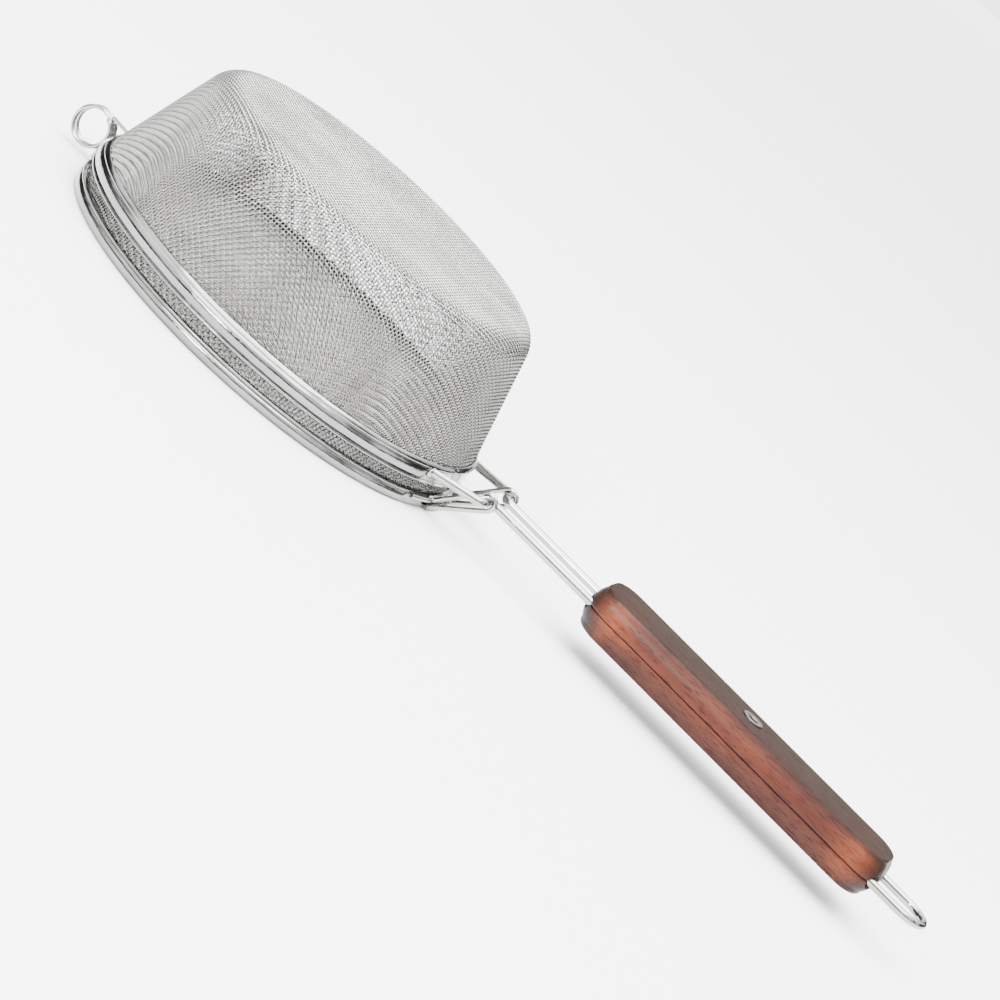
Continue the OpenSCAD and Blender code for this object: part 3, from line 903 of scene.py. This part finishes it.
def plan(looks, draw):
    """The grip's rounded plan, drawn in by some distance all round"""
    r = looks.corner_r - draw / 2
    x0, x1, y = GRIP_X0 + draw + r, GRIP_X1 - draw - r, looks.half_w - draw - r
    return (arc((x1, y), r, 0, 90, 12) + arc((x0, y), r, 90, 180, 12)
            + arc((x0, -y), r, 180, 270, 12) + arc((x1, -y), r, 270, 360, 12))


def grip_half(name, node, height, side, soft):
    """Half the grip: bulged side, eased edges, mouths for the legs and the rivet's hole"""
    looks, w = sizes("grip"), sizes("wires")
    gap = 0.1
    base_draw = looks.draw * 0.8
    layers = [(gap, 0.35), (gap + 0.12, 0.12), (gap + 0.4, 0.0)]
    layers += [(gap + (height - gap - soft) * t, base_draw * t ** 2.2)
               for t in (0.15, 0.3, 0.45, 0.6, 0.75, 0.9, 1.0)]
    for a in (15, 30, 45, 60, 75, 90):
        c, s = math.cos(math.radians(a)), math.sin(math.radians(a))
        layers.append((height - soft + soft * s, base_draw + (1 - c) * soft * 0.9))
    loops = [[(x, y, HINGE.z + side * z) for x, y in plan(looks, draw)] for z, draw in layers]
    obj = place(shaped(lofted(loops), name), name, "basket", "stained_wood", node)
    bore, mouth, mouth_in, past = w.handle_d / 2 + 0.05, 3.3, 4.2, 2
    rivet_hole = 2.45
    cutters = []
    for y in (-w.leg_y, w.leg_y):
        cutters.append(cone((GRIP_X0 - past, y, HINGE.z), (GRIP_X1 + past, y, HINGE.z),
                            bore, bore))
        for end, inward in ((GRIP_X0, 1), (GRIP_X1, -1)):
            cutters.append(cone((end - inward * 0.3, y, HINGE.z),
                                (end + inward * mouth_in, y, HINGE.z), mouth, bore))
    cutters.append(cone((GRIP_MIDDLE, 0, GRIP_BOTTOM - past), (GRIP_MIDDLE, 0, GRIP_TOP + past),
                        rivet_hole, rivet_hole))
    cut(obj, cutters)
    crease(obj.data, 32)


class SIFTER_OT_grip(bpy.types.Operator):
    """Carves the two halves of the wooden grip"""
    bl_idname = "sifter.grip"
    bl_label = "Grip"

    def execute(self, context):
        grip_half("grip_upper", "grip_top_half", GRIP_TOP - HINGE.z, 1, 1.0)
        grip_half("grip_lower", "grip_bottom_half", HINGE.z - GRIP_BOTTOM, -1, 2.4)
        return {"FINISHED"}


class SIFTER_OT_rivet(bpy.types.Operator):
    """Turns the hollow rivet that holds the grip together"""
    bl_idname = "sifter.rivet"
    bl_label = "Rivet"

    def execute(self, context):
        low, high = PARTS["grip_rivet"][0].z, PARTS["grip_rivet"][1].z
        bore, shank, head, tall = 1.7, 2.4, 4.0, 0.6
        section = ([(bore, low + 0.5), (bore + 0.35, low + 0.12), (bore + 0.8, low)]
                   + arc((head - 0.35, low + 0.35), 0.35, 270, 360, 5)
                   + [(head, low + tall), (shank, low + tall), (shank, high - tall),
                      (head, high - tall)]
                   + arc((head - 0.35, high - 0.35), 0.35, 0, 90, 5)
                   + [(bore + 0.8, high), (bore + 0.35, high - 0.12), (bore, high - 0.5)])
        bm = turned(section, 64)
        bmesh.ops.translate(bm, vec=(GRIP_MIDDLE, 0, 0), verts=bm.verts)
        place(shaped(bm, "eyelet"), "eyelet", "basket", "dark_rivet", "grip_rivet", sharp=40)
        return {"FINISHED"}


# ---------------------------------------------------------------- stage

# Place, aim and side in metres, and power in watts
LIGHTS = {
    "overhead": ((0.1, -0.2, 1.3), (0.08, 0, 0), 1.4, 70),
    "front": ((-0.25, -1.4, 0.62), (0.08, 0, 0.03), 0.3, 28),
    "back": ((-0.4, 3.2, 0.8), (0.08, 0, 0.03), 1.6, 12),
}
# Height in the sky and its brightness there: dark at the horizon, bright overhead
SKY_STOPS = ((0.0, 0.03), (0.20, 0.01), (0.36, 0.05), (0.56, 0.55), (1.0, 1.4))
SKY_STRENGTH = 5.0
FLOOR_RADIUS = 6.0


def area_light(name, where, aim, size, power):
    data = bpy.data.lights.new(name, "AREA")
    data.shape, data.size, data.energy = "SQUARE", size, power
    lamp = bpy.data.objects.new(name, data)
    bpy.context.collection.objects.link(lamp)
    lamp.location = where
    lamp.rotation_euler = (Vector(aim) - Vector(where)).to_track_quat("-Z", "Y").to_euler()


class SIFTER_OT_stage(bpy.types.Operator):
    """Sets the pale floor, the soft lights and the camera"""
    bl_idname = "sifter.stage"
    bl_label = "Stage"

    def execute(self, context):
        s = sizes("stage")
        bm = bmesh.new()
        bmesh.ops.create_circle(bm, cap_ends=True, segments=96, radius=FLOOR_RADIUS)
        mesh = bpy.data.meshes.new("studio_floor")
        bm.to_mesh(mesh)
        bm.free()
        floor = bpy.data.objects.new("studio_floor", mesh)
        mesh.materials.append(plain("studio_floor", s.floor, 0.9))
        context.collection.objects.link(floor)
        self.sky(context)
        for name, settings in LIGHTS.items():
            area_light(name, *settings)
        turn, lift, roll = (math.radians(v) for v in (s.turn, s.lift, s.roll))
        right = Vector((math.cos(turn), math.sin(turn), 0))
        back = Vector((math.sin(turn) * math.cos(lift), -math.cos(turn) * math.cos(lift),
                       math.sin(lift)))
        up = back.cross(right)
        across = math.cos(roll) * right + math.sin(roll) * up
        above = -math.sin(roll) * right + math.cos(roll) * up
        data = bpy.data.cameras.new("camera")
        data.lens, data.sensor_width, data.clip_end = s.lens, 36, 50
        camera = bpy.data.objects.new("camera", data)
        context.collection.objects.link(camera)
        spot = (Vector(s.aim) + back * s.away) * MM
        camera.matrix_world = Matrix.Translation(spot) @ Matrix(
            (across, above, back)).transposed().to_4x4()
        context.scene.camera = camera
        return {"FINISHED"}

    def sky(self, context):
        """Lights the scene from above, with slow clouds that break up the reflections"""
        world = bpy.data.worlds.new("studio")
        context.scene.world = world
        world.use_nodes = True
        tree = world.node_tree
        glow = tree.nodes["Background"]
        coords = tree.nodes.new("ShaderNodeTexCoord")
        split = tree.nodes.new("ShaderNodeSeparateXYZ")
        ramp = tree.nodes.new("ShaderNodeValToRGB")
        tree.links.new(coords.outputs["Generated"], split.inputs[0])
        cloud = tree.nodes.new("ShaderNodeTexNoise")
        cloud.inputs["Scale"].default_value, cloud.inputs["Detail"].default_value = 2.2, 0
        tree.links.new(coords.outputs["Generated"], cloud.inputs["Vector"])
        shift = tree.nodes.new("ShaderNodeMath")
        shift.operation = "MULTIPLY_ADD"
        shift.inputs[1].default_value = 1.1
        tree.links.new(cloud.outputs["Fac"], shift.inputs[0])
        lower = tree.nodes.new("ShaderNodeMath")
        lower.operation = "SUBTRACT"
        lower.inputs[1].default_value = 0.55
        tree.links.new(split.outputs["Z"], lower.inputs[0])
        tree.links.new(lower.outputs[0], shift.inputs[2])
        tree.links.new(shift.outputs[0], ramp.inputs[0])
        tree.links.new(ramp.outputs[0], glow.inputs[0])
        while len(ramp.color_ramp.elements) < len(SKY_STOPS):
            ramp.color_ramp.elements.new(0.5)
        for element, (at, grey) in zip(ramp.color_ramp.elements, SKY_STOPS):
            element.position, element.color = at, (grey, grey, grey, 1)
        glow.inputs[1].default_value = SKY_STRENGTH


OPERATORS = (SIFTER_OT_stage, SIFTER_OT_basket_cloth, SIFTER_OT_lid_cloth, SIFTER_OT_rims,
             SIFTER_OT_handle_wire, SIFTER_OT_hinge_wire, SIFTER_OT_clasp, SIFTER_OT_grip,
             SIFTER_OT_rivet)


class SIFTER_PT_panel(bpy.types.Panel):
    """Lists the sifter's pieces and their sizes"""
    bl_idname = "SIFTER_PT_panel"
    bl_label = "Flour sifter"
    bl_space_type = "VIEW_3D"
    bl_region_type = "UI"
    bl_category = "Sifter"

    def draw(self, context):
        for operator in OPERATORS:
            self.layout.operator(operator.bl_idname)
        for name, group in GROUPS.items():
            box = self.layout.box()
            box.label(text=group.__doc__)
            for key in group.__annotations__:
                box.prop(sizes(name), key)


def register():
    for cls in (*GROUPS.values(), *OPERATORS, SIFTER_PT_panel):
        bpy.utils.register_class(cls)
    for name, group in GROUPS.items():
        setattr(bpy.types.Scene, "sifter_" + name, PointerProperty(type=group))


def unregister():
    for name in GROUPS:
        delattr(bpy.types.Scene, "sifter_" + name)
    for cls in (SIFTER_PT_panel, *OPERATORS[::-1], *GROUPS.values()):
        bpy.utils.unregister_class(cls)


def main():
    register()
    for operator in OPERATORS:
        area, name = operator.bl_idname.split(".")
        getattr(getattr(bpy.ops, area), name)()


if __name__ == "__main__":
    main()
